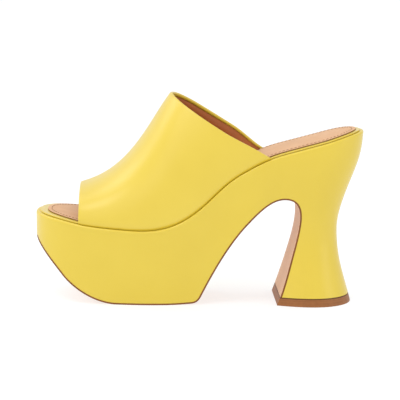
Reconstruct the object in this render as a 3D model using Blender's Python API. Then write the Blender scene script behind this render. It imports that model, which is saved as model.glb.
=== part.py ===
# A left-foot platform mule with an hourglass heel.
#
# The toe points along -X, the medial (big toe) side is +Y and the floor is Z = 0. The origin lies on
# the floor under the middle of the shoe. Lengths are in metres.
#
# The pieces, from the floor up: a thin outsole that climbs the arch and the heel's front face, a top
# lift under the heel, the covered platform and heel in one, a covered insole board, the sock that the
# foot stands on, and the upper, one wall that bridges the forefoot from one edge of the platform to
# the other.

import math
from collections import namedtuple

import bmesh
import bpy
import numpy as np
from mathutils import Vector, geometry

# Driving dimensions

SHOE_LENGTH = 0.232
BALL_WIDTH = 0.087
PLATFORM_HEIGHT = 0.0544  # floor to the platform's top edge at the ball
TOE_SPRING = 0.0072  # how much higher that edge is at the toe tip
HEEL_RISE = 0.0696  # how much higher that edge is at the back of the heel
INSTEP_HEIGHT = 0.1470  # floor to the peak of the upper
EDGE_ROUND = 0.0015  # rounding of the platform's top edge
WALL_TAPER = 0.0105  # how far the ball's wall has come in where it meets the floor

OUTSOLE_THICKNESS = 0.0012
LIFT_THICKNESS = 0.0056
BOARD_THICKNESS = 0.0010
BOARD_ROUND = 0.0005  # rounding of the board's top edge
SOCK_THICKNESS = 0.0007
SOCK_MARGIN = 0.0026  # board that shows outside the sock at the heel
UPPER_WALL = 0.0020
UPPER_BULGE = 0.0016  # how far the upper's sides swell past a plain arch
RIM = 0.0007  # platform top that shows outside the upper
CLEARANCE = 0.0003  # between pieces that meet

FRONT_EDGE = 0.0305  # toe tip to the upper's front edge
COLLAR_PEAK = 0.0955  # toe tip to the peak of the collar
COLLAR_FOOT = 0.1655  # toe tip to where the collar meets the platform on the lateral side
COLLAR_SWEEP = 0.0050  # how much further forward it meets it on the medial side
COLLAR_SWELL = 0.0017  # how much higher the medial half of the collar runs before that
COLLAR_DIP = 0.0018  # how much lower its lateral half runs

HEEL_PIVOT = 0.150  # toe tip to where the heel's narrowing starts
HEEL_FULL = 0.176  # toe tip to where it has its full effect
TOE_ROUND = 0.046  # length over which the toe's outline rounds off
HEEL_ROUND = 0.033  # length over which the heel's outline rounds off
TOE_POWER = 2.35  # 2 is an ellipse, and more is squarer
HEEL_POWER = 2.15

# Sampling of the curves, and the angle past which an edge stays sharp

TOE_COLUMNS = 9
SIDE_COLUMNS = 22
HEEL_COLUMNS = 9
WALL_ROWS = 13
EDGE_ROWS = 3
UPPER_STATIONS = 26
UPPER_COLUMNS = 36
ARC_STEPS = 9
HALVINGS = 30
SHARP_ANGLE = math.radians(35)
UNDER_FLOOR = 0.04  # how far below the floor the walls are carried before they are cut, as a depth share

YELLOW = (0.87, 0.63, 0.07)
TAN = (0.78, 0.46, 0.29)
BROWN = (0.40, 0.16, 0.06)

# Where each section stands and what it holds, as shares: station of SHOE_LENGTH, half_width and centre
# of half BALL_WIDTH, toe_lift of TOE_SPRING, heel_lift of HEEL_RISE, taper of WALL_TAPER. half_width
# leaves out the rounding of the two ends. A positive centre leans to the big toe.
SoleSection = namedtuple("SoleSection", "station half_width centre toe_lift heel_lift taper")
SOLE = (
    SoleSection(0.000, 0.860, 0.020, 1.000, 0.000, 0.12),
    SoleSection(0.070, 0.900, 0.025, 0.764, 0.000, 0.40),
    SoleSection(0.140, 0.945, 0.025, 0.417, 0.000, 0.74),
    SoleSection(0.200, 0.980, 0.020, 0.222, 0.000, 0.92),
    SoleSection(0.260, 1.000, 0.012, 0.083, 0.000, 1.00),
    SoleSection(0.323, 1.000, 0.000, 0.006, 0.000, 1.00),
    SoleSection(0.385, 0.975, -0.015, 0.000, 0.024, 1.00),
    SoleSection(0.447, 0.925, -0.032, 0.000, 0.103, 0.95),
    SoleSection(0.512, 0.860, -0.045, 0.000, 0.264, 0.80),
    SoleSection(0.578, 0.790, -0.052, 0.000, 0.471, 0.56),
    SoleSection(0.643, 0.735, -0.050, 0.000, 0.614, 0.30),
    SoleSection(0.709, 0.695, -0.040, 0.000, 0.722, 0.10),
    SoleSection(0.770, 0.675, -0.028, 0.000, 0.787, 0.00),
    SoleSection(0.830, 0.670, -0.016, 0.000, 0.843, 0.00),
    SoleSection(0.885, 0.670, -0.008, 0.000, 0.896, 0.00),
    SoleSection(0.940, 0.665, -0.002, 0.000, 0.952, 0.00),
    SoleSection(1.000, 0.650, 0.000, 0.000, 1.000, 0.00),
)

# The heel's hourglass, by depth below the top edge as a share of that edge's height. Each other column
# is a share of what the top outline has there: reach from HEEL_PIVOT back, side and breast half width.
HeelLevel = namedtuple("HeelLevel", "depth reach side breast")
HEEL = (
    HeelLevel(0.00, 1.000, 1.000, 1.000),
    HeelLevel(0.08, 0.992, 0.985, 0.985),
    HeelLevel(0.16, 0.971, 0.945, 0.945),
    HeelLevel(0.29, 0.905, 0.850, 0.850),
    HeelLevel(0.43, 0.834, 0.740, 0.750),
    HeelLevel(0.54, 0.801, 0.690, 0.690),
    HeelLevel(0.64, 0.804, 0.705, 0.650),
    HeelLevel(0.76, 0.832, 0.795, 0.645),
    HeelLevel(0.90, 0.892, 0.975, 0.670),
    HeelLevel(1.00, 0.938, 1.085, 0.700),
)

# The last above the platform: ridge is a share of what INSTEP_HEIGHT adds to PLATFORM_HEIGHT, fullness
# is the power of the arch (2 is an ellipse), lean moves the ridge by a share of half BALL_WIDTH towards
# the big toe.
LastSection = namedtuple("LastSection", "station ridge fullness lean")
LAST = (
    LastSection(0.100, 0.250, 2.35, 0.06),
    LastSection(0.132, 0.279, 2.32, 0.06),
    LastSection(0.182, 0.329, 2.28, 0.06),
    LastSection(0.237, 0.418, 2.24, 0.07),
    LastSection(0.292, 0.562, 2.18, 0.08),
    LastSection(0.346, 0.764, 2.12, 0.08),
    LastSection(0.382, 0.915, 2.08, 0.08),
    LastSection(0.414, 1.032, 2.05, 0.08),
    LastSection(0.466, 1.169, 2.00, 0.07),
    LastSection(0.517, 1.278, 2.00, 0.06),
    LastSection(0.586, 1.396, 2.00, 0.04),
    LastSection(0.720, 1.544, 2.00, 0.00),
)

# The tread line is the underside of the outsole in side view, toe to heel. A knot's place is a share of
# SHOE_LENGTH from the toe tip and of the platform's height, or of the heel's height behind the arch.
TreadKnot = namedtuple("TreadKnot", "x z x_in z_in x_out z_out")
TOE_TREAD = (
    TreadKnot(0.0025, 0.810, 0.0025, 0.810, 0.012, 0.720),
    TreadKnot(0.0840, 0.379, 0.060, 0.505, 0.118, 0.203),
    TreadKnot(0.2550, 0.000, 0.187, 0.000, 0.290, 0.000),
)
ARCH_TREAD = (
    TreadKnot(0.4000, 0.000, 0.380, 0.000, 0.430, 0.000),
    TreadKnot(0.4800, 0.007, 0.460, 0.004, 0.495, 0.010),
    TreadKnot(0.5080, 0.047, 0.502, 0.024, 0.545, 0.195),
    TreadKnot(0.6500, 0.482, 0.593, 0.367, 0.689, 0.563),
    TreadKnot(0.7570, 0.609, 0.724, 0.609, 0.796, 0.609),
    TreadKnot(0.8060, 0.490, 0.807, 0.555, 0.805, 0.425),
    TreadKnot(0.7820, 0.255, 0.794, 0.340, 0.768, 0.150),
    TreadKnot(0.7420, 0.000, 0.754, 0.060, 0.729, -0.060),
)


def natural_spline(knots, values):
    """A smooth curve through the values: a natural cubic spline, as a function of arrays or numbers."""
    knots = np.asarray(knots, float)
    values = np.asarray(values, float)
    step = np.diff(knots)
    rise = np.diff(values) / step
    count = len(knots)
    matrix = np.eye(count)
    right = np.zeros(count)
    for i in range(1, count - 1):
        matrix[i, i - 1 : i + 2] = step[i - 1], 2 * (step[i - 1] + step[i]), step[i]
        right[i] = 6 * (rise[i] - rise[i - 1])
    bend = np.linalg.solve(matrix, right)

    def curve(at):
        at = np.clip(at, knots[0], knots[-1])
        i = np.clip(np.searchsorted(knots, at) - 1, 0, count - 2)
        after = at - knots[i]
        before = knots[i + 1] - at
        cubic = (bend[i] * before**3 + bend[i + 1] * after**3) / (6 * step[i])
        slope_before = values[i] / step[i] - bend[i] * step[i] / 6
        slope_after = values[i + 1] / step[i] - bend[i + 1] * step[i] / 6
        return cubic + slope_before * before + slope_after * after

    return curve


def column_curves(table):
    """One smooth curve for each column of a table, over its first column."""
    knots = [row[0] for row in table]
    fields = table[0]._fields
    return {name: natural_spline(knots, [getattr(row, name) for row in table]) for name in fields[1:]}


SOLE_CURVES = column_curves(SOLE)
HEEL_CURVES = column_curves(HEEL)
LAST_CURVES = column_curves(LAST)


def smooth_step(value, start, end):
    share = np.clip((value - start) / (end - start), 0.0, 1.0)
    return share * share * (3 - 2 * share)


def from_toe(x):
    """Distance from the toe tip, as a share of the shoe's length."""
    return x / SHOE_LENGTH + 0.5


def top_height(x):
    """Height of the platform's top, the same all across the shoe at one x."""
    station = np.clip(from_toe(x), 0.0, 1.0)
    toe = TOE_SPRING * SOLE_CURVES["toe_lift"](station)
    return PLATFORM_HEIGHT + toe + HEEL_RISE * SOLE_CURVES["heel_lift"](station)


def end_rounding(distance, length, power):
    """1 inside the shoe, falling to 0 at an end as a superellipse does over length."""
    short = np.clip(1 - distance / length, 0.0, 1.0)
    return (1 - short**power) ** (1 / power)


def half_stations():
    """Stations from toe tip to heel back, close together where the outline turns round an end."""
    toe_share = TOE_ROUND / SHOE_LENGTH
    heel_share = HEEL_ROUND / SHOE_LENGTH
    toe = [toe_share * (1 - math.cos(math.pi / 2 * i / TOE_COLUMNS)) for i in range(TOE_COLUMNS)]
    side = np.linspace(toe_share, 1 - heel_share, SIDE_COLUMNS).tolist()
    heel = [1 - heel_share * (1 - math.cos(math.pi / 2 * i / HEEL_COLUMNS)) for i in range(HEEL_COLUMNS)]
    return np.array(toe + side + heel[::-1])


def top_outline():
    """The platform's outline from above, as a closed loop: toe tip, lateral side, heel, medial side.

    Returns the loop's points and each point's station."""
    station = half_stations()
    distance = station * SHOE_LENGTH
    width = BALL_WIDTH / 2 * SOLE_CURVES["half_width"](station)
    width = width * end_rounding(distance, TOE_ROUND, TOE_POWER)
    width = width * end_rounding(SHOE_LENGTH - distance, HEEL_ROUND, HEEL_POWER)
    centre = BALL_WIDTH / 2 * SOLE_CURVES["centre"](station)
    middle = ((centre + width).max() + (centre - width).min()) / 2
    x = distance - SHOE_LENGTH / 2
    lateral = np.stack([x, centre - width - middle], 1)
    medial = np.stack([x, centre + width - middle], 1)
    loop = np.concatenate([lateral, medial[-2:0:-1]])
    return loop, np.concatenate([station, station[-2:0:-1]])


OUTLINE, STATION = top_outline()
LAST_COLUMN = len(OUTLINE) // 2  # index of the heel back in a loop


def inward_normals(loop):
    """Unit vectors that point into a loop that runs toe, lateral side, heel, medial side."""
    along = np.roll(loop, -1, 0) - np.roll(loop, 1, 0)
    normal = np.stack([-along[:, 1], along[:, 0]], 1)
    return normal / np.linalg.norm(normal, axis=1)[:, None]


INWARD = inward_normals(OUTLINE)


def inset_loop(inset):
    """The outline moved inwards, by one length or by one for each point."""
    return OUTLINE + INWARD * np.broadcast_to(inset, len(OUTLINE))[:, None]


def edge_curve(inset, side):
    """y as a function of x along one side of the inset outline: -1 is lateral and 1 is medial."""
    loop = inset_loop(inset)
    half = loop[: LAST_COLUMN + 1] if side < 0 else np.roll(loop[::-1], 1, 0)[: LAST_COLUMN + 1]
    return lambda x: np.interp(x, half[:, 0], half[:, 1])


def centre_line(x):
    return (edge_curve(0.0, -1)(x) + edge_curve(0.0, 1)(x)) / 2


def flat_ring(inset, lift):
    """A loop on the platform's top surface, inset from its outline and raised by lift."""
    loop = inset_loop(inset)
    return np.column_stack([loop, top_height(loop[:, 0]) + lift])


def wall_ring(depth):
    """The side wall's loop at a depth share: 0 is the top edge and 1 is the floor."""
    height = top_height(OUTLINE[:, 0]) * (1 - depth)
    fallen = top_height(OUTLINE[:, 0]) * depth / PLATFORM_HEIGHT
    loop = inset_loop(WALL_TAPER * SOLE_CURVES["taper"](STATION) * fallen)
    pivot = HEEL_PIVOT - SHOE_LENGTH / 2
    weight = smooth_step(STATION * SHOE_LENGTH, HEEL_PIVOT, HEEL_FULL)
    reach = 1 + weight * (HEEL_CURVES["reach"](depth) - 1)
    x = pivot + (loop[:, 0] - pivot) * reach
    breast_to_side = smooth_step(STATION * SHOE_LENGTH, HEEL_PIVOT, SHOE_LENGTH - HEEL_ROUND)
    breast = HEEL_CURVES["breast"](depth)
    width = breast + (HEEL_CURVES["side"](depth) - breast) * breast_to_side
    centre = centre_line(OUTLINE[:, 0])
    y = centre + (loop[:, 1] - centre) * (1 + weight * (width - 1))
    return np.column_stack([x, y, height])


def new_object(name, bm):
    mesh = bpy.data.meshes.new(name)
    bmesh.ops.recalc_face_normals(bm, faces=bm.faces)
    bm.to_mesh(mesh)
    bm.free()
    made = bpy.data.objects.new(name, mesh)
    bpy.context.scene.collection.objects.link(made)
    return made


def skin(bm, rings, closed=True):
    """Quads between successive rings of points. Returns the rings' vertices."""
    rows = [[bm.verts.new(point) for point in ring] for ring in rings]
    count = len(rows[0])
    for low, high in zip(rows, rows[1:]):
        for i in range(count if closed else count - 1):
            j = (i + 1) % count
            bm.faces.new((low[i], low[j], high[j], high[i]))
    return rows


def ladder_cap(bm, ring):
    """Closes a loop that runs toe, lateral, heel, medial with rungs straight across the shoe."""
    count = len(ring)
    bm.faces.new((ring[0], ring[1], ring[-1]))
    for i in range(1, LAST_COLUMN - 1):
        bm.faces.new((ring[i], ring[i + 1], ring[count - i - 1], ring[count - i]))
    bm.faces.new((ring[LAST_COLUMN - 1], ring[LAST_COLUMN], ring[LAST_COLUMN + 1]))


def rounded_edge_rings(inset, lift, radius):
    """Loops that turn from a flat top into a wall along a quarter round."""
    rings = []
    for i in range(EDGE_ROWS + 1):
        angle = math.pi / 2 * i / EDGE_ROWS
        rings.append(flat_ring(inset + radius * (1 - math.sin(angle)), lift - radius * (1 - math.cos(angle))))
    return rings


def envelope():
    """The covered platform and heel as a block: its top and its side wall, carried below the floor."""
    bm = bmesh.new()
    rings = rounded_edge_rings(0.0, 0.0, EDGE_ROUND)
    start = EDGE_ROUND / PLATFORM_HEIGHT
    rings += [wall_ring(depth) for depth in np.linspace(start, 1 + UNDER_FLOOR, WALL_ROWS + 1)[1:]]
    rows = skin(bm, rings)
    ladder_cap(bm, rows[0])
    ladder_cap(bm, rows[-1])
    return bm


def bezier_chain(knots, height):
    """Points in side view along knots whose heights are shares of height."""
    points = []
    for a, b in zip(knots, knots[1:]):
        ends = [(a.x, a.z), (a.x_out, a.z_out), (b.x_in, b.z_in), (b.x, b.z)]
        ends = [Vector(((x - 0.5) * SHOE_LENGTH, z * height)) for x, z in ends]
        points += [tuple(p) for p in geometry.interpolate_bezier(*ends, ARC_STEPS)[bool(points) :]]
    return points


def tread_line(offset):
    """The outsole's underside in side view, toe to heel, moved into the shoe by offset."""
    heel_height = PLATFORM_HEIGHT + HEEL_RISE
    line = bezier_chain(TOE_TREAD, PLATFORM_HEIGHT) + bezier_chain(ARCH_TREAD, heel_height)
    line = np.array(line)
    along = np.gradient(line, axis=0)
    into = np.stack([-along[:, 1], along[:, 0]], 1)
    into /= np.linalg.norm(into, axis=1)[:, None]
    return line + into * offset


def side_prism(name, outline):
    """A cutter: a side view outline drawn straight across the shoe, wider than the shoe."""
    bm = bmesh.new()
    near = [bm.verts.new((x, -BALL_WIDTH, z)) for x, z in outline]
    face = bm.faces.new(near)
    made = bmesh.ops.extrude_face_region(bm, geom=[face])
    far = [v for v in made["geom"] if isinstance(v, bmesh.types.BMVert)]
    bmesh.ops.translate(bm, verts=far, vec=(0, 2 * BALL_WIDTH, 0))
    return new_object(name, bm)


def hide_guide(guide):
    guide.hide_render = True
    guide.display_type = "WIRE"


def boolean(target, operation, other):
    cut = target.modifiers.new(other.name, "BOOLEAN")
    cut.operation = operation
    cut.object = other
    cut.solver = "EXACT"


def below(line):
    """A side view outline that holds everything under a tread line, down past the floor."""
    drop = -BALL_WIDTH
    start = (line[0][0] - BALL_WIDTH, line[0][1])
    return [(start[0], drop), (line[-1][0], drop), *[tuple(p) for p in line[::-1]], start]


def heel_foot(height):
    """A side view outline that holds everything under a height, from the middle of the arch back."""
    middle = ((ARCH_TREAD[0].x + ARCH_TREAD[-1].x) / 2 - 0.5) * SHOE_LENGTH
    drop = -BALL_WIDTH
    return [(middle, drop), (SHOE_LENGTH, drop), (SHOE_LENGTH, height), (middle, height)]


def material(name, colour, roughness):
    made = bpy.data.materials.new(name)
    made.use_nodes = True
    shader = made.node_tree.nodes["Principled BSDF"]
    shader.inputs["Base Color"].default_value = (*colour, 1.0)
    shader.inputs["Roughness"].default_value = roughness
    shader.inputs["Metallic"].default_value = 0.0
    return made


def finish(piece, surface):
    piece.data.materials.append(surface)
    piece.data.shade_smooth()
    piece.data.set_sharp_from_angle(angle=SHARP_ANGLE)


def make_platform_heel():
    """The covered block, open under the arch and in front of the heel, and rockered at the toe."""
    body = new_object("platform_heel", envelope())
    arch = side_prism("arch_cutter", below(tread_line(OUTSOLE_THICKNESS + CLEARANCE)))
    foot = side_prism("foot_cutter", heel_foot(LIFT_THICKNESS + CLEARANCE))
    for cutter in (arch, foot):
        boolean(body, "DIFFERENCE", cutter)
        hide_guide(cutter)
    finish(body, material("platform_leather", YELLOW, 0.42))


def make_outsole():
    """A thin sole from the toe, under the arch and down the heel's front face to the top lift."""
    sole = side_prism("outsole", [*tread_line(0.0), *tread_line(OUTSOLE_THICKNESS)[::-1]])
    block = new_object("outsole_block", envelope())
    foot = side_prism("outsole_foot_cutter", heel_foot(LIFT_THICKNESS + CLEARANCE))
    boolean(sole, "INTERSECT", block)
    boolean(sole, "DIFFERENCE", foot)
    for cutter in (block, foot):
        hide_guide(cutter)
    finish(sole, material("outsole_leather", TAN, 0.55))


def make_top_lift():
    """The walking piece under the heel: a slice of the heel's own flare, flush with its front face."""
    breast = tread_line(0.0)[-2 * ARC_STEPS :][::-1]
    front_low, front_high = np.interp((0.0, LIFT_THICKNESS), breast[:, 1], breast[:, 0])
    slab = [(front_low, 0.0), (SHOE_LENGTH, 0.0), (SHOE_LENGTH, LIFT_THICKNESS), (front_high, LIFT_THICKNESS)]
    lift = side_prism("top_lift", slab)
    block = new_object("lift_block", envelope())
    boolean(lift, "INTERSECT", block)
    hide_guide(block)
    finish(lift, material("lift_leather", BROWN, 0.5))


def board_inset():
    return RIM + UPPER_WALL + CLEARANCE


def slab_object(name, rings, surface):
    """A closed slab from loops that run from its top, round its edge, to its underside."""
    bm = bmesh.new()
    rows = skin(bm, rings)
    ladder_cap(bm, rows[0])
    ladder_cap(bm, rows[-1])
    finish(new_object(name, bm), surface)


def make_insole_board():
    """The covered board whose edge shows as a second yellow line inside the platform's."""
    rings = rounded_edge_rings(board_inset(), CLEARANCE + BOARD_THICKNESS, BOARD_ROUND)
    rings.append(flat_ring(board_inset(), CLEARANCE))
    slab_object("insole_board", rings, material("board_leather", YELLOW, 0.42))


def make_sock():
    """The leather sock that the foot stands on, with a wider margin of board at the toe."""
    toe = 1 - smooth_step(STATION * SHOE_LENGTH, 0.0, TOE_ROUND)
    inset = board_inset() + SOCK_MARGIN * (1 + toe)
    base = 2 * CLEARANCE + BOARD_THICKNESS
    rings = [flat_ring(inset, base + SOCK_THICKNESS), flat_ring(inset, base)]
    slab_object("sock", rings, material("sock_leather", TAN, 0.55))


def collar_height(x, turn):
    """The collar's edge in side view: a straight cut, which each half leaves a little."""
    peak = COLLAR_PEAK - SHOE_LENGTH / 2
    foot = COLLAR_FOOT - SHOE_LENGTH / 2
    fall = (INSTEP_HEIGHT - top_height(foot)) / (foot - peak)
    swell = COLLAR_SWELL * smooth_step(turn, 0.53, 0.75)
    sweep = COLLAR_SWEEP * smooth_step(turn, 0.90, 1.00)
    dip = COLLAR_DIP * smooth_step(turn, 0.02, 0.13) * (1 - smooth_step(turn, 0.15, 0.50))
    return INSTEP_HEIGHT - fall * (x + sweep - peak) + swell - dip


def last_point(x, turn):
    """A point of the upper's outside: turn 0 is the lateral foot, 0.5 the ridge, 1 the medial foot."""
    station = from_toe(x)
    lateral = edge_curve(RIM, -1)(x)
    medial = edge_curve(RIM, 1)(x)
    foot = top_height(x) + CLEARANCE
    ridge = PLATFORM_HEIGHT + (INSTEP_HEIGHT - PLATFORM_HEIGHT) * LAST_CURVES["ridge"](station)
    power = 2 / LAST_CURVES["fullness"](station)
    angle = math.pi * turn
    across = math.cos(angle)
    swing = math.copysign(abs(across) ** power, -across)
    up = math.sin(angle) ** power
    lean = LAST_CURVES["lean"](station) * BALL_WIDTH / 2 * up
    y = (lateral + medial) / 2 + lean + swing * (medial - lateral) / 2
    y += math.copysign(UPPER_BULGE * abs(math.sin(2 * angle)), -across)
    return Vector((x, y, foot + (ridge - foot) * up))


def collar_x(turn):
    """Where the upper's outside meets the collar's cut, found by halving."""
    low = FRONT_EDGE - SHOE_LENGTH / 2
    high = COLLAR_FOOT - SHOE_LENGTH / 2 + COLLAR_SWEEP
    for _ in range(HALVINGS):
        middle = (low + high) / 2
        if last_point(middle, turn).z < collar_height(middle, turn):
            low = middle
        else:
            high = middle
    return (low + high) / 2


def make_upper():
    """One wall from the toe opening to the collar, over the forefoot and instep."""
    front = FRONT_EDGE - SHOE_LENGTH / 2
    turns = [i / UPPER_COLUMNS for i in range(UPPER_COLUMNS + 1)]
    ends = [collar_x(turn) for turn in turns]
    rings = []
    for i in range(UPPER_STATIONS + 1):
        share = i / UPPER_STATIONS
        rings.append([last_point(front + (end - front) * share, turn) for end, turn in zip(ends, turns)])
    bm = bmesh.new()
    skin(bm, rings, closed=False)
    upper = new_object("upper", bm)
    middle = upper.data.polygons[len(upper.data.polygons) // 2]
    if middle.normal.z < 0:
        upper.data.flip_normals()
    wall = upper.modifiers.new("wall", "SOLIDIFY")
    wall.thickness = UPPER_WALL
    wall.offset = -1.0
    wall.use_even_offset = True
    finish(upper, material("upper_leather", YELLOW, 0.42))


def main():
    for old in list(bpy.data.objects):
        bpy.data.objects.remove(old)
    make_platform_heel()
    make_outsole()
    make_top_lift()
    make_insole_board()
    make_sock()
    make_upper()


main()
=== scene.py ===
# %% [markdown]
# # A platform mule in yellow leather
#
# This script dresses a left shoe: a backless mule with an open toe, a high platform and an hourglass
# heel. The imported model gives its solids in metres, with the toe along -X, the camera's side along -Y
# and the floor at Z = 0. Each visible piece is made again here, finer than its solid, from the same
# few tables, and then it gets its leather.

# %% Load the frame
import math
from collections import namedtuple

import bmesh
import bpy
import numpy as np
from mathutils import Matrix, Vector, geometry


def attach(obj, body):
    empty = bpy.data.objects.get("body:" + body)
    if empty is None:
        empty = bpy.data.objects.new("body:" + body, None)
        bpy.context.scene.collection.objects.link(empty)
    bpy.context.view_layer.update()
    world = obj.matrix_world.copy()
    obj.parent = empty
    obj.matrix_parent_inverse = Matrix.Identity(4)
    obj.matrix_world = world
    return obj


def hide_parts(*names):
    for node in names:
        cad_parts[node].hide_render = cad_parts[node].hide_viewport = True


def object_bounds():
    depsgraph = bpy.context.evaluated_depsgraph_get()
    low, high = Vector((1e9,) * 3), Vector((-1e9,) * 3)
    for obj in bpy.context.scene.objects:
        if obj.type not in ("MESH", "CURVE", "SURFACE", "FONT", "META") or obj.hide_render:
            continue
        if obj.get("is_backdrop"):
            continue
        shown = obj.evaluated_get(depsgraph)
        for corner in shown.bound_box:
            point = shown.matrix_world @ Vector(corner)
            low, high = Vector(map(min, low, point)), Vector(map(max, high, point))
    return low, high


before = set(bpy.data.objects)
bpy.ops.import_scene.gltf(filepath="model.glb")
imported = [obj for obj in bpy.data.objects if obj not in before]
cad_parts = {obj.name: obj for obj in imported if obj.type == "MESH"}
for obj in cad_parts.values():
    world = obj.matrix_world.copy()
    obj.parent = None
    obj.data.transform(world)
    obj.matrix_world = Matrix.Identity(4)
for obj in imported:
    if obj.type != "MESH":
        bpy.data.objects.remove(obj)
solid_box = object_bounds()
print("nodes:", sorted(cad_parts))
print("solid box, mm:", [[round(v * 1000, 1) for v in corner] for corner in solid_box])

# %% [markdown]
# ## The camera and the light
#
# The photograph was taken from a little above the floor, almost square to the shoe's outer side, and
# the camera was held slightly turned. A long lens keeps the verticals straight. The shoe stood on a
# light table: its floor is white everywhere and there is hardly a shadow. So the floor here glows a
# little, a bright sky fills the shadows, and one soft box above the toe draws the pale lines along
# the rounded edges. A box behind the toe lays the soft highlight on the front of the upper, and three
# weak boxes at the toe, the heel and the front lift those sides of the shoe.

# %% Camera
CAMERA_TARGET = Vector((0.0, 0.0, 0.075))
CAMERA_DISTANCE = 1.300
CAMERA_AZIMUTH = math.radians(-2.2)
CAMERA_ELEVATION = math.radians(9.2)
CAMERA_ROLL = math.radians(1.4)
SENSOR_MM = 36.0
LENS_MM = 163.37
SHIFT_X = 0.0020
SHIFT_Y = -0.01625


def make_camera():
    """A camera that looks at the target from the photograph's side."""
    back = Vector((
        math.sin(CAMERA_AZIMUTH) * math.cos(CAMERA_ELEVATION),
        -math.cos(CAMERA_AZIMUTH) * math.cos(CAMERA_ELEVATION),
        math.sin(CAMERA_ELEVATION),
    ))
    data = bpy.data.cameras.new("camera")
    data.lens = LENS_MM
    data.sensor_width = SENSOR_MM
    data.shift_x = SHIFT_X
    data.shift_y = SHIFT_Y
    data.clip_start = 0.05
    camera = bpy.data.objects.new("camera", data)
    bpy.context.scene.collection.objects.link(camera)
    roll = Matrix.Rotation(CAMERA_ROLL, 4, "Z")
    turn = (-back).to_track_quat("-Z", "Y").to_matrix().to_4x4()
    camera.matrix_world = Matrix.Translation(CAMERA_TARGET + back * CAMERA_DISTANCE) @ turn @ roll
    bpy.context.scene.camera = camera
    return camera


camera = make_camera()
print("camera at", [round(v, 4) for v in camera.matrix_world.translation])

# %% Lights and sky
scene = bpy.context.scene
scene.view_settings.view_transform = "Standard"
scene.view_settings.look = "None"
SKY_STRENGTH = 0.88
# Each light: its place, what it looks at, its width and height in metres, and its watts.
LIGHTS = {
    "top_light": ((-0.34, -0.50, 1.04), (0.0, 0.0, 0.08), 0.5, 0.4, 3.2),
    "toe_light": ((-1.10, -0.65, 0.30), (0.0, 0.0, 0.08), 0.6, 0.6, 0.3),
    "heel_light": ((1.10, -0.50, 0.30), (0.1, 0.0, 0.08), 0.5, 0.6, 1.0),
    "front_light": ((-0.50, -1.05, 0.55), (0.0, 0.0, 0.08), 0.5, 0.5, 0.7),
    "back_light": ((-0.80, 0.30, 0.90), (0.0, 0.0, 0.08), 0.6, 0.6, 2.3),
}


def make_light(name, place, target, width, height, watts):
    data = bpy.data.lights.new(name, "AREA")
    data.shape = "RECTANGLE"
    data.size = width
    data.size_y = height
    data.energy = watts
    light = bpy.data.objects.new(name, data)
    bpy.context.scene.collection.objects.link(light)
    light.location = place
    light.rotation_mode = "QUATERNION"
    light.rotation_quaternion = (Vector(target) - Vector(place)).to_track_quat("-Z", "Y")


for name, setting in LIGHTS.items():
    make_light(name, *setting)
world = bpy.data.worlds.new("sky")
world.use_nodes = True
world.node_tree.nodes["Background"].inputs["Color"].default_value = (1.0, 1.0, 1.0, 1.0)
world.node_tree.nodes["Background"].inputs["Strength"].default_value = SKY_STRENGTH
scene.world = world
print("lights:", ", ".join(LIGHTS))

# %% [markdown]
# ## The shape tables
#
# A shoe's platform is drawn by its pattern maker as a plan outline, a side view and a few sections.
# The tables below are those drawings. Each gives a handful of stations, and a natural cubic spline
# runs through them, so that the same table can be read at eight stations or at eighty. They are the
# tables of the solids, so what is made from them lies exactly where the solids are.

# %% Driving sizes
SHOE_LENGTH = 0.232
BALL_WIDTH = 0.087
PLATFORM_HEIGHT = 0.0544
TOE_SPRING = 0.0072
HEEL_RISE = 0.0696
INSTEP_HEIGHT = 0.1470
EDGE_ROUND = 0.0015
WALL_TAPER = 0.0105
LIFT_THICKNESS = 0.0056
BOARD_THICKNESS = 0.0010
BOARD_ROUND = 0.0005
SOCK_THICKNESS = 0.0007
SOCK_MARGIN = 0.0026
UPPER_WALL = 0.0020
UPPER_BULGE = 0.0016
RIM = 0.0007
CLEARANCE = 0.0003
FRONT_EDGE = 0.0305
COLLAR_PEAK = 0.0955
COLLAR_FOOT = 0.1655
COLLAR_SWEEP = 0.0050
COLLAR_SWELL = 0.0017
COLLAR_DIP = 0.0018
HEEL_PIVOT = 0.150
HEEL_FULL = 0.176
TOE_ROUND = 0.046
HEEL_ROUND = 0.033
TOE_POWER = 2.35
HEEL_POWER = 2.15

# %% Tables
SoleSection = namedtuple("SoleSection", "station half_width centre toe_lift heel_lift taper")
SOLE = (
    SoleSection(0.000, 0.860, 0.020, 1.000, 0.000, 0.12),
    SoleSection(0.070, 0.900, 0.025, 0.764, 0.000, 0.40),
    SoleSection(0.140, 0.945, 0.025, 0.417, 0.000, 0.74),
    SoleSection(0.200, 0.980, 0.020, 0.222, 0.000, 0.92),
    SoleSection(0.260, 1.000, 0.012, 0.083, 0.000, 1.00),
    SoleSection(0.323, 1.000, 0.000, 0.006, 0.000, 1.00),
    SoleSection(0.385, 0.975, -0.015, 0.000, 0.024, 1.00),
    SoleSection(0.447, 0.925, -0.032, 0.000, 0.103, 0.95),
    SoleSection(0.512, 0.860, -0.045, 0.000, 0.264, 0.80),
    SoleSection(0.578, 0.790, -0.052, 0.000, 0.471, 0.56),
    SoleSection(0.643, 0.735, -0.050, 0.000, 0.614, 0.30),
    SoleSection(0.709, 0.695, -0.040, 0.000, 0.722, 0.10),
    SoleSection(0.770, 0.675, -0.028, 0.000, 0.787, 0.00),
    SoleSection(0.830, 0.670, -0.016, 0.000, 0.843, 0.00),
    SoleSection(0.885, 0.670, -0.008, 0.000, 0.896, 0.00),
    SoleSection(0.940, 0.665, -0.002, 0.000, 0.952, 0.00),
    SoleSection(1.000, 0.650, 0.000, 0.000, 1.000, 0.00),
)
HeelLevel = namedtuple("HeelLevel", "depth reach side breast")
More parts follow.
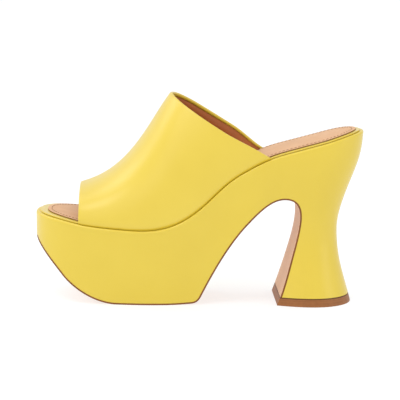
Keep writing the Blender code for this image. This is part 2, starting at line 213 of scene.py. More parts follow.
HEEL = (
    HeelLevel(0.00, 1.000, 1.000, 1.000),
    HeelLevel(0.08, 0.992, 0.985, 0.985),
    HeelLevel(0.16, 0.971, 0.945, 0.945),
    HeelLevel(0.29, 0.905, 0.850, 0.850),
    HeelLevel(0.43, 0.834, 0.740, 0.750),
    HeelLevel(0.54, 0.801, 0.690, 0.690),
    HeelLevel(0.64, 0.804, 0.705, 0.650),
    HeelLevel(0.76, 0.832, 0.795, 0.645),
    HeelLevel(0.90, 0.892, 0.975, 0.670),
    HeelLevel(1.00, 0.938, 1.085, 0.700),
)
LastSection = namedtuple("LastSection", "station ridge fullness lean")
LAST = (
    LastSection(0.100, 0.250, 2.35, 0.06),
    LastSection(0.132, 0.279, 2.32, 0.06),
    LastSection(0.182, 0.329, 2.28, 0.06),
    LastSection(0.237, 0.418, 2.24, 0.07),
    LastSection(0.292, 0.562, 2.18, 0.08),
    LastSection(0.346, 0.764, 2.12, 0.08),
    LastSection(0.382, 0.915, 2.08, 0.08),
    LastSection(0.414, 1.032, 2.05, 0.08),
    LastSection(0.466, 1.169, 2.00, 0.07),
    LastSection(0.517, 1.278, 2.00, 0.06),
    LastSection(0.586, 1.396, 2.00, 0.04),
    LastSection(0.720, 1.544, 2.00, 0.00),
)
TreadKnot = namedtuple("TreadKnot", "x z x_in z_in x_out z_out")
TOE_TREAD = (
    TreadKnot(0.0025, 0.810, 0.0025, 0.810, 0.012, 0.720),
    TreadKnot(0.0840, 0.379, 0.060, 0.505, 0.118, 0.203),
    TreadKnot(0.2550, 0.000, 0.187, 0.000, 0.290, 0.000),
)
ARCH_TREAD = (
    TreadKnot(0.4000, 0.000, 0.380, 0.000, 0.430, 0.000),
    TreadKnot(0.4800, 0.007, 0.460, 0.004, 0.495, 0.010),
    TreadKnot(0.5080, 0.047, 0.502, 0.024, 0.545, 0.195),
    TreadKnot(0.6500, 0.482, 0.593, 0.367, 0.689, 0.563),
    TreadKnot(0.7570, 0.609, 0.724, 0.609, 0.796, 0.609),
    TreadKnot(0.8060, 0.490, 0.807, 0.555, 0.805, 0.425),
    TreadKnot(0.7820, 0.255, 0.794, 0.340, 0.768, 0.150),
    TreadKnot(0.7420, 0.000, 0.754, 0.060, 0.729, -0.060),
)
print("table rows:", len(SOLE), len(HEEL), len(LAST), len(TOE_TREAD) + len(ARCH_TREAD))


# %% Splines through the tables
def natural_spline(knots, values):
    """A natural cubic spline through the values, as a function of arrays or numbers."""
    knots = np.asarray(knots, float)
    values = np.asarray(values, float)
    step = np.diff(knots)
    rise = np.diff(values) / step
    count = len(knots)
    matrix = np.eye(count)
    right = np.zeros(count)
    for i in range(1, count - 1):
        matrix[i, i - 1 : i + 2] = step[i - 1], 2 * (step[i - 1] + step[i]), step[i]
        right[i] = 6 * (rise[i] - rise[i - 1])
    bend = np.linalg.solve(matrix, right)

    def curve(at):
        at = np.clip(at, knots[0], knots[-1])
        i = np.clip(np.searchsorted(knots, at) - 1, 0, count - 2)
        after = at - knots[i]
        before = knots[i + 1] - at
        cubic = (bend[i] * before**3 + bend[i + 1] * after**3) / (6 * step[i])
        slope_before = values[i] / step[i] - bend[i] * step[i] / 6
        slope_after = values[i + 1] / step[i] - bend[i + 1] * step[i] / 6
        return cubic + slope_before * before + slope_after * after

    return curve


def column_curves(table):
    """One smooth curve for each column of a table, over its first column."""
    knots = [row[0] for row in table]
    fields = table[0]._fields
    return {name: natural_spline(knots, [getattr(row, name) for row in table]) for name in fields[1:]}


sole_curves = column_curves(SOLE)
heel_curves = column_curves(HEEL)
last_curves = column_curves(LAST)


def smooth_step(value, start, end):
    share = np.clip((value - start) / (end - start), 0.0, 1.0)
    return share * share * (3 - 2 * share)


def top_height(x):
    """Height of the platform's top, the same all across the shoe at one x."""
    station = np.clip(x / SHOE_LENGTH + 0.5, 0.0, 1.0)
    toe = TOE_SPRING * sole_curves["toe_lift"](station)
    return PLATFORM_HEIGHT + toe + HEEL_RISE * sole_curves["heel_lift"](station)


tops = [round(float(top_height(x)) * 1000, 1) for x in (-SHOE_LENGTH / 2, -0.035, SHOE_LENGTH / 2)]
print("top at the toe tip, ball and heel, mm:", tops)

# %% [markdown]
# ## Plan outline and rings
#
# Everything that is stacked on the platform follows one plan outline: the platform's edge, the board
# inside it, the sock inside that, and the line of stitches. So the outline is worked out once, as a
# loop of points that runs toe tip, outer side, heel, inner side, and each piece asks for a ring that
# is inset from it and lifted from the platform's top. The points stand closer where the outline turns.

# %% Outline
TOE_COLUMNS = 26
SIDE_COLUMNS = 62
HEEL_COLUMNS = 24


def end_rounding(distance, length, power):
    """1 inside the shoe, falling to 0 at an end as a superellipse does over length."""
    short = np.clip(1 - distance / length, 0.0, 1.0)
    return (1 - short**power) ** (1 / power)


def half_stations():
    """Stations from toe tip to heel back, close together where the outline turns round an end."""
    toe_share = TOE_ROUND / SHOE_LENGTH
    heel_share = HEEL_ROUND / SHOE_LENGTH
    toe = [toe_share * (1 - math.cos(math.pi / 2 * i / TOE_COLUMNS)) for i in range(TOE_COLUMNS)]
    side = np.linspace(toe_share, 1 - heel_share, SIDE_COLUMNS).tolist()
    heel = [1 - heel_share * (1 - math.cos(math.pi / 2 * i / HEEL_COLUMNS)) for i in range(HEEL_COLUMNS)]
    return np.array(toe + side + heel[::-1])


def plan_outline():
    """The outline's points and the station of each."""
    station = half_stations()
    distance = station * SHOE_LENGTH
    width = BALL_WIDTH / 2 * sole_curves["half_width"](station)
    width = width * end_rounding(distance, TOE_ROUND, TOE_POWER)
    width = width * end_rounding(SHOE_LENGTH - distance, HEEL_ROUND, HEEL_POWER)
    centre = BALL_WIDTH / 2 * sole_curves["centre"](station)
    middle = ((centre + width).max() + (centre - width).min()) / 2
    x = distance - SHOE_LENGTH / 2
    lateral = np.stack([x, centre - width - middle], 1)
    medial = np.stack([x, centre + width - middle], 1)
    return np.concatenate([lateral, medial[-2:0:-1]]), np.concatenate([station, station[-2:0:-1]])


outline, outline_station = plan_outline()
heel_tip = len(outline) // 2
along = np.roll(outline, -1, 0) - np.roll(outline, 1, 0)
inward = np.stack([-along[:, 1], along[:, 0]], 1)
inward /= np.linalg.norm(inward, axis=1)[:, None]
girth = np.linalg.norm(np.roll(outline, -1, 0) - outline, axis=1).sum()
print("outline points:", len(outline), " girth, mm:", round(girth * 1000))


# %% Rings
def inset_loop(inset):
    """The outline moved inwards, by one length or by one for each point."""
    return outline + inward * np.broadcast_to(inset, len(outline))[:, None]


def edge_curve(inset, side):
    """y as a function of x along one side of the inset outline: -1 is lateral and 1 is medial."""
    loop = inset_loop(inset)
    half = loop[: heel_tip + 1] if side < 0 else np.roll(loop[::-1], 1, 0)[: heel_tip + 1]
    return lambda x: np.interp(x, half[:, 0], half[:, 1])


outer_edge = edge_curve(0.0, -1)
inner_edge = edge_curve(0.0, 1)
foot_outer = edge_curve(RIM, -1)
foot_inner = edge_curve(RIM, 1)


def flat_ring(inset, lift):
    """A loop on the platform's top surface, inset from its outline and raised by lift."""
    loop = inset_loop(inset)
    return np.column_stack([loop, top_height(loop[:, 0]) + lift])


def wall_ring(depth):
    """The side wall's loop at a depth share: 0 is the top edge and 1 is the floor."""
    height = top_height(outline[:, 0]) * (1 - depth)
    fallen = top_height(outline[:, 0]) * depth / PLATFORM_HEIGHT
    loop = inset_loop(WALL_TAPER * sole_curves["taper"](outline_station) * fallen)
    pivot = HEEL_PIVOT - SHOE_LENGTH / 2
    weight = smooth_step(outline_station * SHOE_LENGTH, HEEL_PIVOT, HEEL_FULL)
    reach = 1 + weight * (heel_curves["reach"](depth) - 1)
    x = pivot + (loop[:, 0] - pivot) * reach
    breast_to_side = smooth_step(outline_station * SHOE_LENGTH, HEEL_PIVOT, SHOE_LENGTH - HEEL_ROUND)
    breast = heel_curves["breast"](depth)
    width = breast + (heel_curves["side"](depth) - breast) * breast_to_side
    centre = (outer_edge(outline[:, 0]) + inner_edge(outline[:, 0])) / 2
    y = centre + (loop[:, 1] - centre) * (1 + weight * (width - 1))
    return np.column_stack([x, y, height])


def rounded_edge(inset, lift, radius, rows):
    """Rings that turn from a flat top into a wall along a quarter round."""
    angles = [math.pi / 2 * i / rows for i in range(rows + 1)]
    turned = [(radius * (1 - math.sin(a)), radius * (1 - math.cos(a))) for a in angles]
    return [flat_ring(inset + inwards, lift - down) for inwards, down in turned]


waist = np.ptp(wall_ring(0.54)[heel_tip - 20 : heel_tip + 20, 1])
print("heel's waist, mm across:", round(float(waist) * 1000, 1))

# %% [markdown]
# ## Lofting with operators
#
# A wall that follows rings is a loft. One way is to list all its vertices and faces. Here a circle is
# made with as many vertices as the outline has points, its vertices are set on the first ring, and
# then its edges are extruded again and again, each new loop moved on to the next ring. The flat ends
# are closed by bridging the outer half of the last loop to its inner half, which gives rungs straight
# across the shoe, the way that its top runs.


# %% Lofting
def make_object(name, bm):
    """An object from a bmesh, with its faces pointing outwards."""
    bmesh.ops.recalc_face_normals(bm, faces=bm.faces)
    mesh = bpy.data.meshes.new(name)
    bm.to_mesh(mesh)
    bm.free()
    piece = bpy.data.objects.new(name, mesh)
    bpy.context.scene.collection.objects.link(piece)
    return piece


def edges_along(verts):
    """The edges between successive vertices."""
    return [next(e for e in a.link_edges if e.other_vert(a) is b) for a, b in zip(verts, verts[1:])]


def first_loop(bm, ring):
    """A circle with its vertices set on a ring of points."""
    made = bmesh.ops.create_circle(bm, segments=len(ring), radius=1.0)["verts"]
    for vert, point in zip(made, ring):
        vert.co = point
    return made


def next_loop(bm, verts, ring):
    """Extrudes a loop of edges and sets the new loop on a ring of points."""
    made = bmesh.ops.extrude_edge_only(bm, edges=edges_along([*verts, verts[0]]))["geom"]
    fresh = {v for v in made if isinstance(v, bmesh.types.BMVert)}
    after = [next(e.other_vert(v) for e in v.link_edges if e.other_vert(v) in fresh) for v in verts]
    for vert, point in zip(after, ring):
        vert.co = point
    return after


def close_across(bm, verts):
    """Closes a loop that runs toe, outer side, heel, inner side with rungs across the shoe."""
    outer = verts[1:heel_tip]
    inner = verts[:heel_tip:-1]
    bmesh.ops.bridge_loops(bm, edges=edges_along(outer) + edges_along(inner))
    bmesh.ops.contextual_create(bm, geom=[verts[0], outer[0], inner[0]])
    bmesh.ops.contextual_create(bm, geom=[verts[heel_tip], outer[-1], inner[-1]])


def loft(rings):
    """A closed bmesh through rings, capped at both ends."""
    bm = bmesh.new()
    verts = first_loop(bm, rings[0])
    top = verts
    for ring in rings[1:]:
        verts = next_loop(bm, verts, ring)
    close_across(bm, top)
    close_across(bm, verts)
    return bm


SHARP = math.radians(32)


def smooth(piece, angle=SHARP):
    piece.data.shade_smooth()
    piece.data.set_sharp_from_angle(angle=angle)
    return piece


def report(piece):
    count = sum(len(p.vertices) - 2 for p in piece.data.polygons)
    print(f"{piece.name}: {count} triangles")


# %% [markdown]
# ## Cutting the arch
#
# The platform and the heel are one covered block. Seen from the side, everything under the tread line
# is cut away straight across the shoe: the rocker under the toe, the arch, and the heel's front face.
# That is what a maker's band saw does to the block too, so the same cut is made with a Boolean. The
# tread line is a chain of Bezier curves, and the leather sole is the block between two of them.

# %% Tread line
ARC_STEPS = 22


def bezier_chain(knots, height):
    """Points in side view along knots whose heights are shares of height."""
    points = []
    for a, b in zip(knots, knots[1:]):
        ends = [(a.x, a.z), (a.x_out, a.z_out), (b.x_in, b.z_in), (b.x, b.z)]
        ends = [Vector(((x - 0.5) * SHOE_LENGTH, z * height)) for x, z in ends]
        points += [tuple(p) for p in geometry.interpolate_bezier(*ends, ARC_STEPS)[bool(points) :]]
    return points


def tread_line(offset):
    """The outsole's underside in side view, toe to heel, moved into the shoe by offset."""
    line = bezier_chain(TOE_TREAD, PLATFORM_HEIGHT) + bezier_chain(ARCH_TREAD, PLATFORM_HEIGHT + HEEL_RISE)
    line = np.array(line)
    run = np.gradient(line, axis=0)
    into = np.stack([-run[:, 1], run[:, 0]], 1)
    into /= np.linalg.norm(into, axis=1)[:, None]
    return line + into * offset


def below(line):
    """A side view outline that holds everything under a tread line, down past the floor."""
    drop = -BALL_WIDTH
    start = (line[0][0] - BALL_WIDTH, line[0][1])
    return [(start[0], drop), (line[-1][0], drop), *[tuple(p) for p in line[::-1]], start]


def heel_foot(height):
    """A side view outline that holds everything under a height, from the middle of the arch back."""
    middle = ((ARCH_TREAD[0].x + ARCH_TREAD[-1].x) / 2 - 0.5) * SHOE_LENGTH
    return [(middle, -BALL_WIDTH), (SHOE_LENGTH, -BALL_WIDTH), (SHOE_LENGTH, height), (middle, height)]


def side_prism(name, points):
    """A side view outline drawn straight across the shoe, wider than the shoe."""
    bm = bmesh.new()
    first_loop(bm, [(x, -BALL_WIDTH, z) for x, z in points])
    face = bmesh.ops.edgeloop_fill(bm, edges=bm.edges[:])["faces"]
    made = bmesh.ops.extrude_face_region(bm, geom=face)["geom"]
    far = [v for v in made if isinstance(v, bmesh.types.BMVert)]
    bmesh.ops.translate(bm, verts=far, vec=(0, 2 * BALL_WIDTH, 0))
    return make_object(name, bm)


print("tread line points:", len(tread_line(0.0)))


# %% Boolean helper
def carve(piece, cuts):
    """Applies Booleans to a piece, each an operation and its other object, and removes those."""
    for operation, other in cuts:
        cut = piece.modifiers.new(other.name, "BOOLEAN")
        cut.operation = operation
        cut.object = other
        cut.solver = "EXACT"
    ready = piece.evaluated_get(bpy.context.evaluated_depsgraph_get())
    carved = bpy.data.meshes.new_from_object(ready)
    piece.modifiers.clear()
    piece.data = carved
    for _, other in cuts:
        bpy.data.objects.remove(other)
    return piece


# %% Covered block
WALL_ROWS = 44
EDGE_ROWS = 6
BELOW_FLOOR = 1.04  # the depth share that the block's wall ends at, where 1 is the floor
SOLE_EDGE = 0.0011
GLUE_LINE = 0.0001


def block(name):
    """The platform and heel as a block: its top and its side wall, carried below the floor."""
    rings = rounded_edge(0.0, 0.0, EDGE_ROUND, EDGE_ROWS)
    depths = np.linspace(EDGE_ROUND / PLATFORM_HEIGHT, BELOW_FLOOR, WALL_ROWS + 1)[1:]
    rings += [wall_ring(depth) for depth in depths]
    return make_object(name, loft(rings))


arch_cut = side_prism("arch_cut", below(tread_line(SOLE_EDGE + GLUE_LINE)))
foot_cut = side_prism("foot_cut", heel_foot(LIFT_THICKNESS + CLEARANCE))
platform = carve(block("platform_heel_cover"), [("DIFFERENCE", arch_cut), ("DIFFERENCE", foot_cut)])
report(smooth(platform))

# %% Leather sole
sole_prism = side_prism("outsole_leather", [*tread_line(0.0), *tread_line(SOLE_EDGE)[::-1]])
foot_cut = side_prism("foot_cut", heel_foot(LIFT_THICKNESS + CLEARANCE))
outsole = carve(sole_prism, [("INTERSECT", block("block")), ("DIFFERENCE", foot_cut)])
report(smooth(outsole))

# %% Top lift
breast_line = tread_line(0.0)[-2 * ARC_STEPS :][::-1]
front_low, front_high = np.interp((0.0, LIFT_THICKNESS), breast_line[:, 1], breast_line[:, 0])
lift_side = [(front_low, 0.0), (SHOE_LENGTH, 0.0)]
lift_side += [(SHOE_LENGTH, LIFT_THICKNESS), (front_high, LIFT_THICKNESS)]
top_lift = carve(side_prism("heel_top_lift", lift_side), [("INTERSECT", block("block"))])
report(smooth(top_lift))

# %% [markdown]
# ## Board and sock
#
# Inside the platform's edge lies a thin board whose leather is folded over its edge, which is the
# second yellow line at the toe and heel. The sock, the leather that the foot stands on, is glued on
# it and sewn round its edge. Both are lofts of the same outline, with small rounds at their edges.

# %% Board and sock
BOARD_INSET = RIM + UPPER_WALL + CLEARANCE
SOCK_ROUND = 0.0003
SOCK_BASE = 2 * CLEARANCE + BOARD_THICKNESS


def sock_inset():
    """How far the sock's edge lies inside the outline: further at the toe than along the sides."""
    toe = 1 - smooth_step(outline_station * SHOE_LENGTH, 0.0, TOE_ROUND)
    return BOARD_INSET + SOCK_MARGIN * (1 + toe)


board_rings = rounded_edge(BOARD_INSET, CLEARANCE + BOARD_THICKNESS, BOARD_ROUND, EDGE_ROWS)
board = make_object("insole_board_cover", loft([*board_rings, flat_ring(BOARD_INSET, CLEARANCE)]))
report(smooth(board))
sock_rings = rounded_edge(sock_inset(), SOCK_BASE + SOCK_THICKNESS, SOCK_ROUND, EDGE_ROWS // 2)
sock = make_object("sock_leather", loft([*sock_rings, flat_ring(sock_inset(), SOCK_BASE)]))
report(smooth(sock))

# %% [markdown]
# ## The upper
#
# The upper is one piece of leather drawn over a last. At the collar and at the toe opening it is
# folded over to the inside for about two millimetres, and the lining meets the fold there. So the leather
# is modelled as it lies: a grid whose rows run inside the front fold, round the front edge, over the
# outside, round the collar and down the inside again, and Solidify gives it the thickness of hide.
# The lining is a second grid between the two folds.

# %% Last surface
HALVINGS = 34
FEATHER_TUCK = 0.0007
FEATHER_RISE = 0.0032


def last_point(x, turn):
    """A point of the upper's outside: turn 0 is the outer foot, 0.5 the ridge, 1 the inner foot."""
    station = x / SHOE_LENGTH + 0.5
    lateral = float(foot_outer(x))
    medial = float(foot_inner(x))
    foot = float(top_height(x)) + CLEARANCE
    ridge = PLATFORM_HEIGHT + (INSTEP_HEIGHT - PLATFORM_HEIGHT) * float(last_curves["ridge"](station))
    power = 2 / float(last_curves["fullness"](station))
    angle = math.pi * turn
    across = math.cos(angle)
    swing = math.copysign(abs(across) ** power, -across)
    up = max(math.sin(angle), 0.0) ** power
    lean = float(last_curves["lean"](station)) * BALL_WIDTH / 2 * up
    y = (lateral + medial) / 2 + lean + swing * (medial - lateral) / 2
    y += math.copysign(UPPER_BULGE * abs(math.sin(2 * angle)), -across)
    rise = (ridge - foot) * up
    y -= math.copysign(FEATHER_TUCK * (1 - float(smooth_step(rise, 0.0, FEATHER_RISE))), -across)
    return Vector((x, y, foot + rise))


def last_normal(x, turn):
    """The outward normal of the last at a point, from two short steps."""
    step_x = 0.0004
    step_turn = 0.004
    low = max(turn - step_turn, 0.0)
    high = min(turn + step_turn, 1.0)
    across = last_point(x, high) - last_point(x, low)
    forward = last_point(x + step_x, turn) - last_point(x - step_x, turn)
    return forward.cross(across).normalized()


def collar_height(x, turn):
    """The collar's edge in side view: a straight cut, which each half leaves a little."""
    peak = COLLAR_PEAK - SHOE_LENGTH / 2
    foot = COLLAR_FOOT - SHOE_LENGTH / 2
    fall = (INSTEP_HEIGHT - float(top_height(foot))) / (foot - peak)
    swell = COLLAR_SWELL * float(smooth_step(turn, 0.53, 0.75))
    sweep = COLLAR_SWEEP * float(smooth_step(turn, 0.90, 1.00))
    dip = COLLAR_DIP * float(smooth_step(turn, 0.02, 0.13) * (1 - smooth_step(turn, 0.15, 0.50)))
    return INSTEP_HEIGHT - fall * (x + sweep - peak) + swell - dip


def collar_x(turn):
    """Where the upper's outside meets the collar's cut, found by halving."""
    low = FRONT_EDGE - SHOE_LENGTH / 2
    high = COLLAR_FOOT - SHOE_LENGTH / 2 + COLLAR_SWEEP
    for _ in range(HALVINGS):
        middle = (low + high) / 2
        if last_point(middle, turn).z < collar_height(middle, turn):
            low = middle
        else:
            high = middle
    return (low + high) / 2


print("collar at ridge, x in mm:", round(collar_x(0.5) * 1000, 1))

# %% Leather over the last
UPPER_STATIONS = 60
UPPER_COLUMNS = 110
FOLD_ROWS = 9
FOLD_LENGTH = 0.0019
HIDE = 0.00085
FOLD_RADIUS = UPPER_WALL / 2
front_x = FRONT_EDGE - SHOE_LENGTH / 2
turns = [i / UPPER_COLUMNS for i in range(UPPER_COLUMNS + 1)]
collar_ends = [collar_x(turn) for turn in turns]


def fold_rows():
    """Rows of a fold, from its end inside the shoe to the edge: how far in from the edge each lies,
    and how deep in the wall."""
    half_round = [math.pi * i / FOLD_ROWS for i in range(FOLD_ROWS + 1)]
    rows = [(FOLD_LENGTH, UPPER_WALL), (FOLD_LENGTH * 0.6, UPPER_WALL)]
    return rows + [(FOLD_RADIUS * (1 - math.sin(a)), FOLD_RADIUS * (1 + math.cos(a))) for a in half_round]


def row_on_wall(kind, value, sunk, turn, collar_end):
    """A point of the wall: kind says if value is a length from the front, from the collar, or a share."""
    span = collar_end - front_x
    share = {"front": value / span, "share": value, "collar": 1 - value / span}[kind]
    x = front_x + span * share
    return last_point(x, turn) - last_normal(x, turn) * sunk


def grid_over_last(name, rows):
    """A grid with one row of vertices for each row and a column for each turn."""
    bm = bmesh.new()
    made = bmesh.ops.create_grid(bm, x_segments=len(rows) - 1, y_segments=UPPER_COLUMNS, size=1.0)["verts"]
    for vert in made:
        i = round((vert.co.x + 1) / 2 * (len(rows) - 1))
        j = round((vert.co.y + 1) / 2 * UPPER_COLUMNS)
        vert.co = row_on_wall(*rows[i], turns[j], collar_ends[j])
    return make_object(name, bm)


def add_wall(piece, thickness, faces_up):
    """Turns a sheet's faces by its highest one, then thickens it on the side they turn away from."""
    highest = max(piece.data.polygons, key=lambda face: face.center.z)
    if (highest.normal.z > 0) != faces_up:
        piece.data.flip_normals()
    wall = piece.modifiers.new("wall", "SOLIDIFY")
    wall.thickness = thickness
    wall.offset = -1.0
    return piece


leather_rows = [("front", length, sunk) for length, sunk in fold_rows()]
leather_rows += [("share", i / UPPER_STATIONS, 0.0) for i in range(1, UPPER_STATIONS)]
leather_rows += [("collar", length, sunk) for length, sunk in fold_rows()[::-1]]
upper = add_wall(grid_over_last("upper_leather", leather_rows), HIDE, True)
report(smooth(upper))

# %% Lining
LINING = 0.0006
SEAM_GAP = 0.0002
LINING_DEPTH = UPPER_WALL - GLUE_LINE
lining_edge = FOLD_LENGTH + SEAM_GAP
lining_rows = [("front", lining_edge, LINING_DEPTH)]
lining_rows += [("share", i / UPPER_STATIONS, LINING_DEPTH) for i in range(4, UPPER_STATIONS - 3)]
lining_rows += [("collar", lining_edge, LINING_DEPTH)]
lining = add_wall(grid_over_last("upper_lining", lining_rows), LINING, False)
report(smooth(lining))

# %% [markdown]
# ## Stitches
#
# The sock is held by a lockstitch that follows its edge. On the real shoe each stitch is a short
# length of waxed thread that dips into the leather at both ends. One stitch is a small stretched
# sphere, and a copy of it stands at every step along a ring inside the sock's edge, turned along it.

# %% Sock stitches
STITCH_PITCH = 0.0029
STITCH_LENGTH = 0.0021
STITCH_WIDTH = 0.0005
STITCH_FROM_EDGE = 0.0028


def even_points(ring, pitch):
    """Points at an even pitch along a closed ring, each with the direction of the ring there."""
    closed = np.vstack([ring, ring[:1]])
    length = np.concatenate([[0], np.cumsum(np.linalg.norm(np.diff(closed, axis=0), axis=1))])
    count = round(length[-1] / pitch)
    at = (np.arange(count) + 0.5) * length[-1] / count
    spots = np.stack([np.interp(at, length, closed[:, k]) for k in range(3)], 1)
    ahead = np.stack([np.interp((at + pitch / 4) % length[-1], length, closed[:, k]) for k in range(3)], 1)
    return [(Vector(a), Vector(b - a).normalized()) for a, b in zip(spots, ahead)]


def stitches(name, ring, pitch):
    """One mesh that holds a stitch at every step along a ring."""
    bm = bmesh.new()
    for spot, direction in even_points(ring, pitch):
        turn = direction.to_track_quat("X", "Z").to_matrix().to_4x4()
        size = Matrix.Diagonal((STITCH_LENGTH / 2, STITCH_WIDTH / 2, STITCH_WIDTH / 2, 1.0))
        bmesh.ops.create_uvsphere(
            bm, u_segments=8, v_segments=5, radius=1.0, matrix=Matrix.Translation(spot) @ turn @ size
        )
    return make_object(name, bm)


stitch_ring = flat_ring(sock_inset() + STITCH_FROM_EDGE, SOCK_BASE + SOCK_THICKNESS + STITCH_WIDTH * 0.1)
sock_stitches = stitches("sock_stitches", stitch_ring, STITCH_PITCH)
report(smooth(sock_stitches, math.radians(180)))

# %% [markdown]
# ## Shader helpers
#
# A material is a net of nodes, and most of its maths is plain adding and multiplying. A small class
# wraps a node's output socket, so that this maths reads as ordinary Python and adds its own Math
# nodes. Every other node is added by one method, which sets the node's own settings first and then
# its inputs. All patterns read Object coordinates, which are metres in the shoe's frame.


# %% Wire and Surface
class Wire:
    """A number that varies over a surface: a node's output socket with the usual operators."""

    def __init__(self, surface, socket):
        self.surface = surface
        self.socket = socket

    def maths(self, operation, first, second):
        return self.surface.node("ShaderNodeMath", {"operation": operation}, {0: first, 1: second})

    def __add__(self, other):
        return self.maths("ADD", self, other)

    def __radd__(self, other):
        return self.maths("ADD", other, self)

    def __sub__(self, other):
        return self.maths("SUBTRACT", self, other)

    def __mul__(self, other):
        return self.maths("MULTIPLY", self, other)


class Surface:
    """A leather's material, with its Principled shader and the nodes that feed it."""

    def __init__(self, name):
        self.material = bpy.data.materials.new(name)
        self.material.use_nodes = True
        self.tree = self.material.node_tree
        self.shader = self.tree.nodes["Principled BSDF"]
        self.place = self.node("ShaderNodeTexCoord", {}, {}, "Object")

    def node(self, kind, settings, inputs, output=0):
        """Adds a node and returns one of its outputs as a Wire."""
        node = self.tree.nodes.new(kind)
        for name, value in settings.items():
            if name == "stops":
                self.set_stops(node, value)
            else:
                setattr(node, name, value)
        for name, value in inputs.items():
            self.feed(node.inputs[name], value)
        return Wire(self, node.outputs[output])

    @staticmethod
    def set_stops(node, stops):
        ramp = node.color_ramp
        while len(ramp.elements) < len(stops):
            ramp.elements.new(0.5)
        for element, (position, value) in zip(ramp.elements, stops):
            element.position = position
            element.color = (value, value, value, 1.0)

    def feed(self, socket, value):
        if isinstance(value, Wire):
            self.tree.links.new(value.socket, socket)
        elif isinstance(value, tuple) and len(value) == 3 and socket.type == "RGBA":
            socket.default_value = (*value, 1.0)
        else:
            socket.default_value = value

    def set(self, **inputs):
        """Sets or links inputs of the shader, named with underscores for spaces."""
        for name, value in inputs.items():
            self.feed(self.shader.inputs[name.replace("_", " ")], value)

    def noise(self, size, detail=2.0):
        """Soft noise from 0 to 1 with lumps of a size in metres."""
        inputs = {"Vector": self.place, "Scale": 1 / size, "Detail": detail}
        return self.node("ShaderNodeTexNoise", {}, inputs)

    def cells(self, size):
        """The distance to the middle of cells of a size in metres, as in a leather's grain."""
        inputs = {"Vector": self.place, "Scale": 1 / size}
        return self.node("ShaderNodeTexVoronoi", {}, inputs, "Distance")

    def mix(self, share, low, high):
        """A colour between two colours."""
        inputs = {"Factor": share, 6: low, 7: high}
        return self.node("ShaderNodeMix", {"data_type": "RGBA"}, inputs, 2)

    def ramp(self, value, stops):
        return self.node("ShaderNodeValToRGB", {"stops": stops}, {"Fac": value})

    def bump(self, height, depth):
        """A normal from a height that runs from 0 to 1 over a depth in metres."""
        return self.node("ShaderNodeBump", {}, {"Height": height, "Distance": depth, "Strength": 1.0})


print("shader helpers ready")

# %% [markdown]
# ## Leathers
#
# The yellow is a smooth calf leather with a satin finish: a fine grain of pores about half a
# millimetre apart, a slight softness in its gloss, and hardly any change of colour. The tan sock and
# sole are vegetable tanned, so they are matt, a little mottled, and darker where an edge was
# burnished. The lift is stacked leather, whose thin layers show as faint stripes at its side, and it
# is dark along the top, where it is glued on. Each leather is made of the same few patterns: cells
# and noise for the grain, and a broader noise that moves the colour between a light and a deep tone.

# %% Yellow leather
GRAIN = 0.00055
GRAIN_DEPTH = 0.00003
GLOSS_PATCH = 0.006
GLOSS_CHANGE = 0.08
YELLOW_PATCH = 0.035
YELLOW_LIGHT = (0.730, 0.540, 0.040)
YELLOW_DEEP = (0.715, 0.525, 0.036)


def yellow_leather(name, roughness, coat, coat_roughness):
    surface = Surface(name)
    grain = surface.cells(GRAIN) * 0.6 + surface.noise(GRAIN * 0.5) * 0.4
    cloud = surface.noise(YELLOW_PATCH, 3.0)
    colour = surface.mix(surface.ramp(cloud, [(0.35, 0.0), (0.65, 1.0)]), YELLOW_DEEP, YELLOW_LIGHT)
    gloss = roughness + (surface.noise(GLOSS_PATCH) - 0.5) * GLOSS_CHANGE
    surface.set(Base_Color=colour, Roughness=gloss, Normal=surface.bump(grain, GRAIN_DEPTH))
    surface.set(Coat_Weight=coat, Coat_Roughness=coat_roughness)
    return surface.material


platform_yellow = yellow_leather("platform_yellow_leather", 0.45, 0.40, 0.22)
upper_yellow = yellow_leather("upper_yellow_leather", 0.40, 0.60, 0.36)
board_yellow = yellow_leather("board_yellow_leather", 0.40, 0.80, 0.30)
print("yellow leathers:", platform_yellow.name, upper_yellow.name, board_yellow.name)


# %% Tan leathers
TAN_GRAIN = 0.0007
TAN_FIBRE = 0.0004
TAN_DEPTH = 0.00005
TAN_PATCH = 0.012
THREAD_PATCH = 0.001
TAN_GLOSS_CHANGE = 0.15


def tan_leather(name, light, dark, roughness, mottle=TAN_PATCH):
    surface = Surface(name)
    grain = surface.cells(TAN_GRAIN) * 0.5 + surface.noise(TAN_FIBRE) * 0.5
    cloud = surface.noise(mottle, 4.0)
    colour = surface.mix(surface.ramp(cloud, [(0.3, 0.0), (0.7, 1.0)]), dark, light)
    surface.set(Base_Color=colour, Roughness=roughness + (cloud - 0.5) * TAN_GLOSS_CHANGE)
    surface.set(Normal=surface.bump(grain, TAN_DEPTH))
    return surface.material


sock_tan = tan_leather("sock_tan_leather", (0.735, 0.435, 0.235), (0.675, 0.38, 0.19), 0.55)
sole_tan = tan_leather("sole_tan_leather", (0.76, 0.48, 0.285), (0.70, 0.41, 0.23), 0.50)
lining_tan = tan_leather("lining_tan_leather", (0.43, 0.115, 0.014), (0.37, 0.095, 0.011), 0.55)
edge_brown = tan_leather("burnished_edge", (0.24, 0.070, 0.004), (0.18, 0.050, 0.003), 0.60)
sock_edge = tan_leather("sock_cut_edge", (0.36, 0.20, 0.09), (0.30, 0.15, 0.06), 0.60)
thread = tan_leather("waxed_thread", (0.30, 0.16, 0.08), (0.24, 0.12, 0.05), 0.50, THREAD_PATCH)
print("tan leathers ready")


# %% Stacked leather
LAYERS_PER_METRE = 1400.0
LAYER_DEPTH = 0.00008
LIFT_PATCH = 0.003
LIFT_DEEP = (0.25, 0.083, 0.013)
LIFT_LIGHT = (0.33, 0.117, 0.023)
SEAM_BROWN = (0.15, 0.045, 0.004)


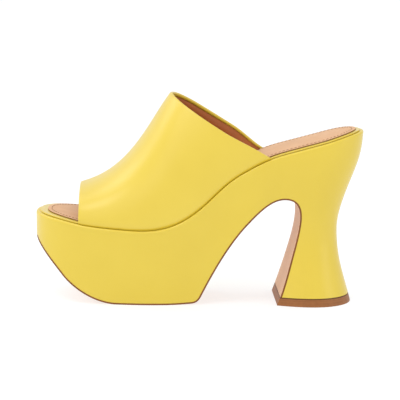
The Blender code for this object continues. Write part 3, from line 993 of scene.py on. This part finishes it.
def stacked_leather():
    surface = Surface("stacked_lift_leather")
    height = surface.node("ShaderNodeSeparateXYZ", {}, {0: surface.place}, 2)
    inputs = {"W": height, "Scale": LAYERS_PER_METRE}
    layer = surface.node("ShaderNodeTexNoise", {"noise_dimensions": "1D"}, inputs)
    mottle = surface.noise(LIFT_PATCH, 3.0)
    share = layer * 0.6 + mottle * 0.4
    colour = surface.mix(surface.ramp(share, [(0.35, 0.0), (0.65, 1.0)]), LIFT_DEEP, LIFT_LIGHT)
    seam = surface.ramp(height * (1 / LIFT_THICKNESS), [(0.86, 0.0), (0.93, 1.0)])
    colour = surface.mix(seam, colour, SEAM_BROWN)
    surface.set(Base_Color=colour, Roughness=0.5, Normal=surface.bump(share, LAYER_DEPTH))
    return surface.material


lift_brown = stacked_leather()
print("lift:", lift_brown.name)


# %% Give the leathers to the pieces
def dress(piece, *materials):
    piece.data.materials.clear()
    for one in materials:
        piece.data.materials.append(one)


def mark(piece, index, test):
    """Gives the faces that pass a test the material with that index. Returns how many."""
    for face in piece.data.polygons:
        face.material_index = index if test(face) else 0
    return sum(face.material_index == index for face in piece.data.polygons)


dress(platform, platform_yellow)
dress(board, board_yellow)
dress(upper, upper_yellow)
dress(lining, lining_tan)
dress(sock, sock_tan, sock_edge)
dress(outsole, sole_tan, edge_brown)
dress(top_lift, lift_brown)
dress(sock_stitches, thread)
SIDEWAYS = 0.30
UPWARDS = 0.50
TOE_TIP = -0.105


def at_sole_edge(face):
    """True for the sole's narrow edge: it faces sideways, or straight ahead at the toe's tip."""
    ahead = face.center.x < TOE_TIP and abs(face.normal.z) < SIDEWAYS
    return ahead or abs(face.normal.y) > SIDEWAYS


def at_sock_edge(face):
    """True for the sock's cut edge, which stands steeper than its top does anywhere."""
    return abs(face.normal.z) < UPWARDS


print("sock edge faces:", mark(sock, 1, at_sock_edge))
print("outsole edge faces:", mark(outsole, 1, at_sole_edge))

# %% [markdown]
# ## Floor
#
# The floor is a plain white sheet, wide enough to reach past the horizon of the picture. It belongs
# to the stage and not to the shoe.

# %% Floor
FLOOR_GLOW = 0.64
FLOOR_HALF_WIDTH = 15.0
floor_mesh = bmesh.new()
bmesh.ops.create_grid(floor_mesh, x_segments=1, y_segments=1, size=FLOOR_HALF_WIDTH)
floor = make_object("floor", floor_mesh)
floor_white = Surface("floor_white")
floor_white.set(Base_Color=(0.38, 0.40, 0.42), Roughness=0.9)
floor_white.set(Emission_Color=(1.0, 1.0, 1.0), Emission_Strength=FLOOR_GLOW)
dress(floor, floor_white.material)
floor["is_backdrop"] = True
print("floor ready")

# %% [markdown]
# ## Ties to the imported model
#
# The shoe has no joint, so every piece rides on its one body. Each piece's row says which solids it stands
# for, which hides them, and which material slot of the record its leather belongs to; that slot is only
# listed, and nothing here reads it.

# %% Ride, replace, slot
TIES = (
    (platform, ["platform_heel"], "platform_heel"),
    (outsole, ["outsole"], "outsole"),
    (top_lift, ["top_lift"], "top_lift"),
    (board, ["insole_board"], "insole_board"),
    (sock, ["sock"], "sock"),
    (sock_stitches, [], "sock"),
    (upper, ["upper"], "upper"),
    (lining, [], "upper"),
)
for piece, nodes, slot in TIES:
    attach(piece, "root")
    if nodes:
        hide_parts(*nodes)
print("pieces:", ", ".join(piece.name for piece, _, _ in TIES))

dressed_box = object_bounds()
for box_name, box in (("solids", solid_box), ("dressed", dressed_box)):
    print(box_name, "mm:", [[round(v * 1000, 2) for v in corner] for corner in box])
